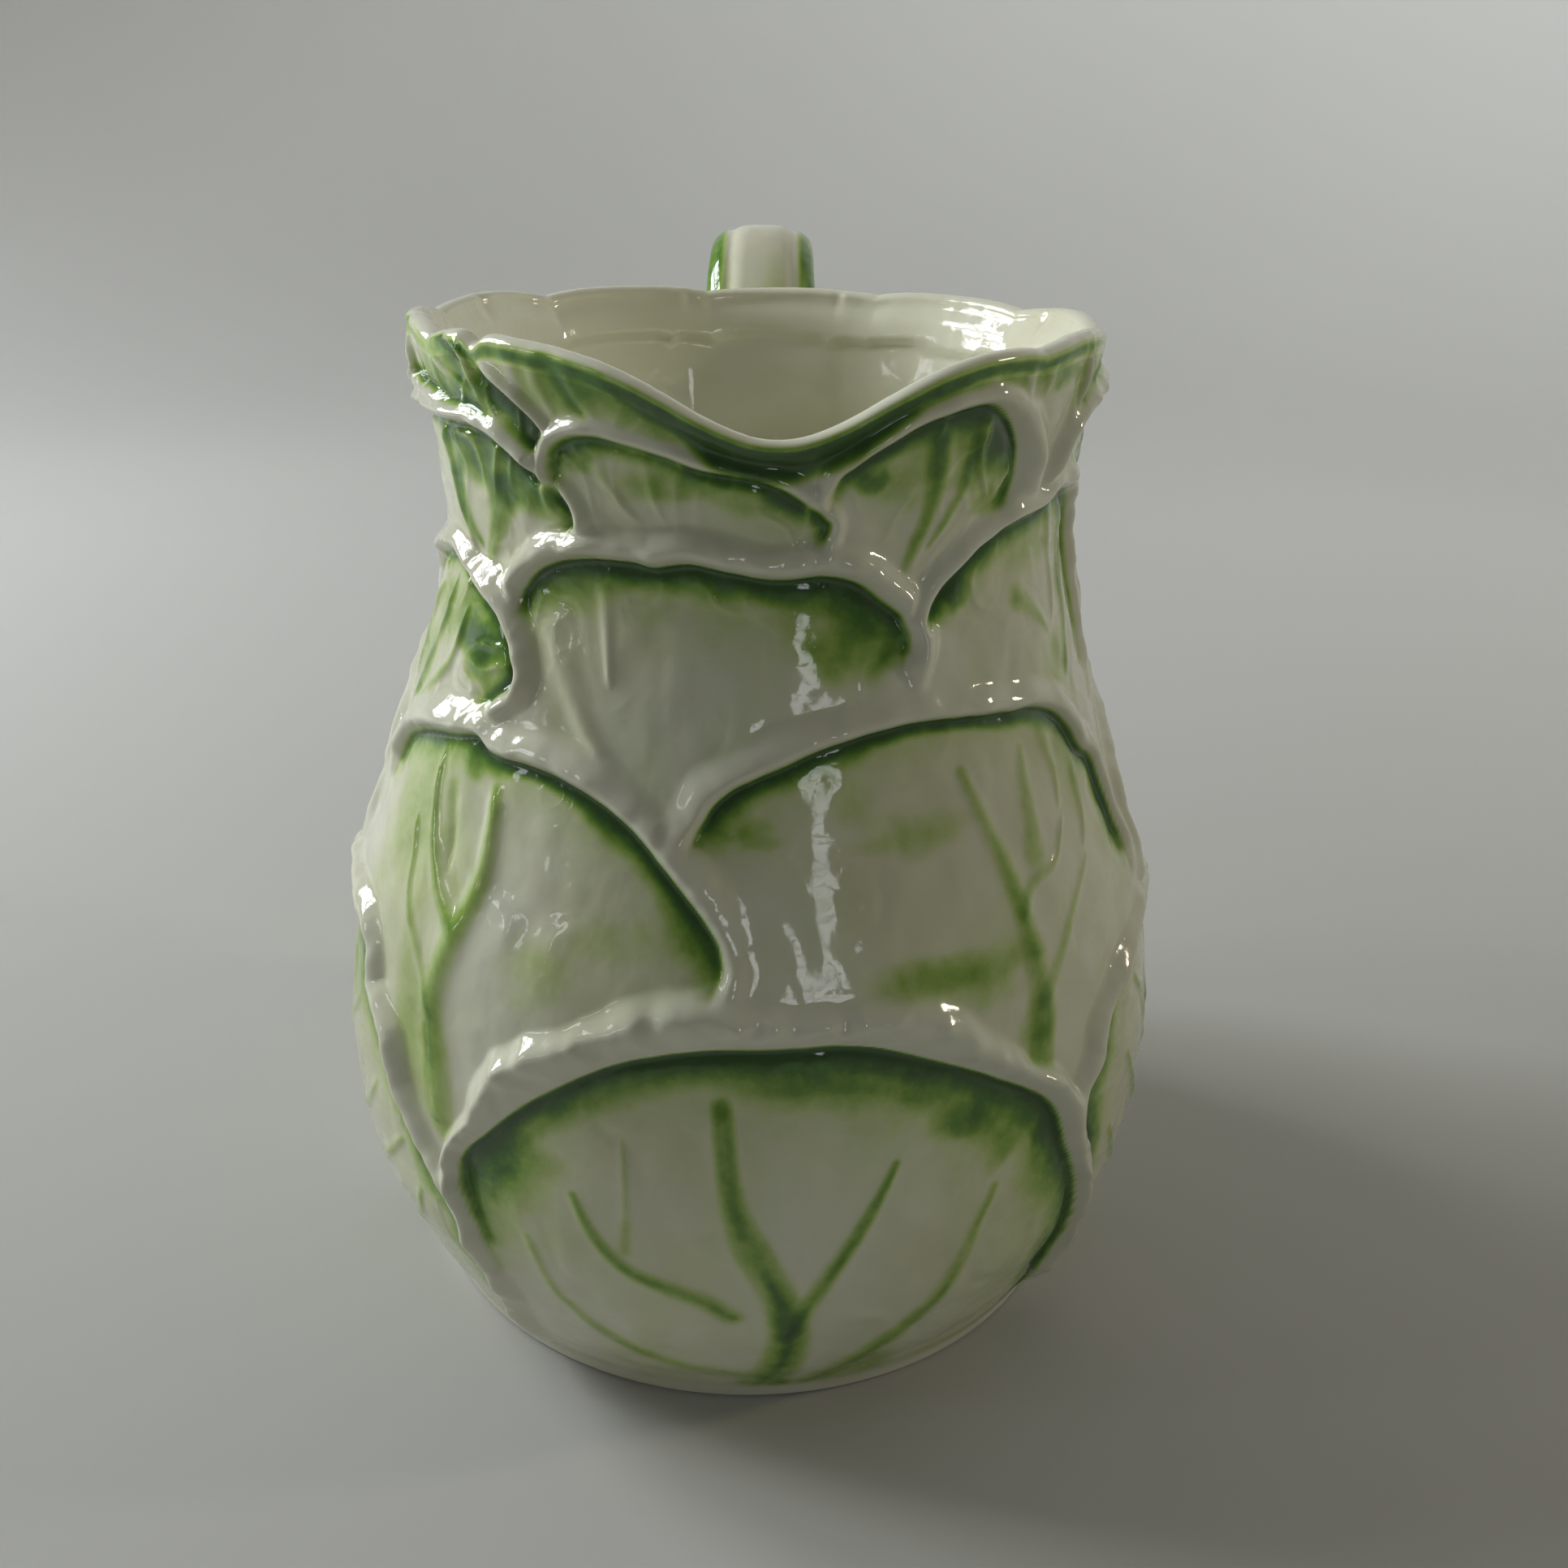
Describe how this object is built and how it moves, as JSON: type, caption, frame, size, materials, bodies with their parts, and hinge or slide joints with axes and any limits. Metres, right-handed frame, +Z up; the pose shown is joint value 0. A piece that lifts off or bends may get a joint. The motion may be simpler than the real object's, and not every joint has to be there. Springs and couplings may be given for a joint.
{
  "type": "pouring jug",
  "caption": "Pear-shaped ceramic pouring jug with tiers of overlapping moulded leaves, a dipped lip at the front, a loop handle at the back and a plain foot ring.",
  "frame": {"origin": "on the jug's axis, in the plane that the foot ring stands on", "axes": "+Z up; the pouring lip faces -Y, the handle stands behind at +Y, and +X is to the right seen from the lip's side"},
  "size_m": [0.1417, 0.1701, 0.1669],
  "materials": {
    "ivory_glaze": "glossy transparent glaze over an ivory body",
    "leaf_glaze": "glossy glaze over hand-brushed leaf green on ivory",
    "bare_foot": "unglazed, fine sanded"
  },
  "bodies": {
    "root": {"vessel": "ivory_glaze", "foot_ring": "bare_foot", "handle": "ivory_glaze", "handle_upper_joint": "ivory_glaze", "handle_lower_joint": "ivory_glaze", "leaf_foot_front": "leaf_glaze", "leaf_foot_left": "leaf_glaze", "leaf_foot_right": "leaf_glaze", "leaf_foot_back_right": "leaf_glaze", "leaf_foot_back_left": "leaf_glaze", "leaf_belly_front_left": "leaf_glaze", "leaf_belly_front_right": "leaf_glaze", "leaf_belly_back_right": "leaf_glaze", "leaf_belly_back": "leaf_glaze", "leaf_belly_back_left": "leaf_glaze", "leaf_shoulder_front": "leaf_glaze", "leaf_shoulder_left": "leaf_glaze", "leaf_shoulder_right": "leaf_glaze", "leaf_shoulder_back_right": "leaf_glaze", "leaf_shoulder_back": "leaf_glaze", "leaf_shoulder_back_left": "leaf_glaze", "leaf_neck_left": "leaf_glaze", "leaf_neck_front": "leaf_glaze", "leaf_neck_right": "leaf_glaze", "leaf_neck_back_right": "leaf_glaze", "leaf_neck_back": "leaf_glaze", "leaf_neck_back_left": "leaf_glaze", "leaf_rim_left": "leaf_glaze", "leaf_lip_left": "leaf_glaze", "leaf_lip_right": "leaf_glaze", "leaf_rim_right": "leaf_glaze", "leaf_rim_back_right": "leaf_glaze", "leaf_rim_back_left": "leaf_glaze", "leaf_rim_back_side": "leaf_glaze"}
  },
  "joints": []
}
